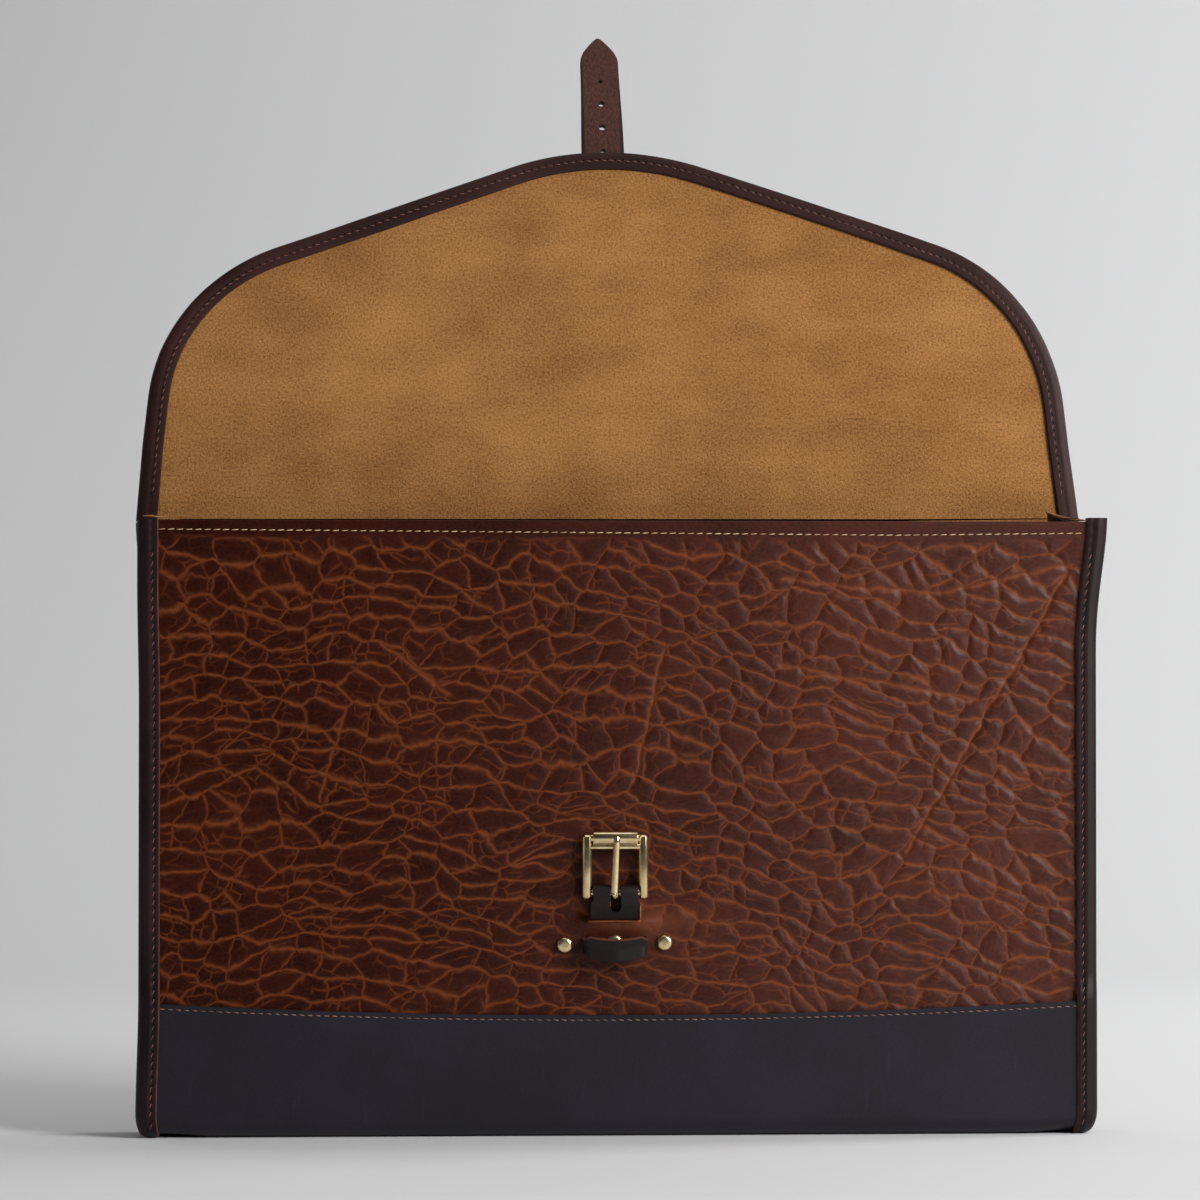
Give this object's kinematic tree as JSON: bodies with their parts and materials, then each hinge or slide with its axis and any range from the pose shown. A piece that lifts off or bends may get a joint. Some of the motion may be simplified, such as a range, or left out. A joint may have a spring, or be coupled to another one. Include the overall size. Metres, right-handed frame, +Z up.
{
  "type": "leather document case",
  "caption": "Slim leather document case with pleated gussets, bound seams, a suede-lined flap standing open, and a strap that closes on a roller buckle.",
  "frame": {"origin": "middle of the base's underside, on the surface that the case stands on", "axes": "+Z up, the buckled front faces -Y, +X to the right seen from the front"},
  "size_m": [0.406, 0.1198, 0.4784],
  "materials": {
    "grain_leather": "waxed shrunken grain with pale creases",
    "suede": "brushed suede",
    "band_leather": "smooth, satin",
    "gusset_leather": "smooth, satin",
    "binding_leather": "smooth, satin",
    "strap_leather": "smooth, matt",
    "brass": "polished"
  },
  "bodies": {
    "case": {"front_panel": "grain_leather", "back_panel": "grain_leather", "flap_lining": "suede", "base_band": "band_leather", "gusset_left": "gusset_leather", "gusset_right": "gusset_leather", "edge_binding_left": "binding_leather", "edge_binding_right": "binding_leather", "flap_binding": "binding_leather", "closure_strap": "strap_leather", "buckle_chape": "band_leather", "keeper_loop": "band_leather", "rivet_left": "brass", "rivet_right": "brass", "rivet_centre": "brass"},
    "frame": {"buckle_frame": "brass"},
    "tongue": {"buckle_tongue": "brass"},
    "roller": {"buckle_roller": "brass"}
  },
  "joints": [
    {"name": "frame_swing", "type": "hinge", "parent": "case", "child": "frame", "pos_m": [-0.0025, -0.02175, 0.1027], "axis": [1, 0, 0], "range_deg": [0, 70]},
    {"name": "tongue_swing", "type": "hinge", "parent": "frame", "child": "tongue", "pos_m": [-0.0025, -0.02175, 0.1027], "axis": [1, 0, 0], "range_deg": [0, 60]},
    {"name": "roller_spin", "type": "hinge", "parent": "frame", "child": "roller", "pos_m": [-0.0025, -0.02175, 0.1257], "axis": [1, 0, 0], "continuous": true}
  ]
}
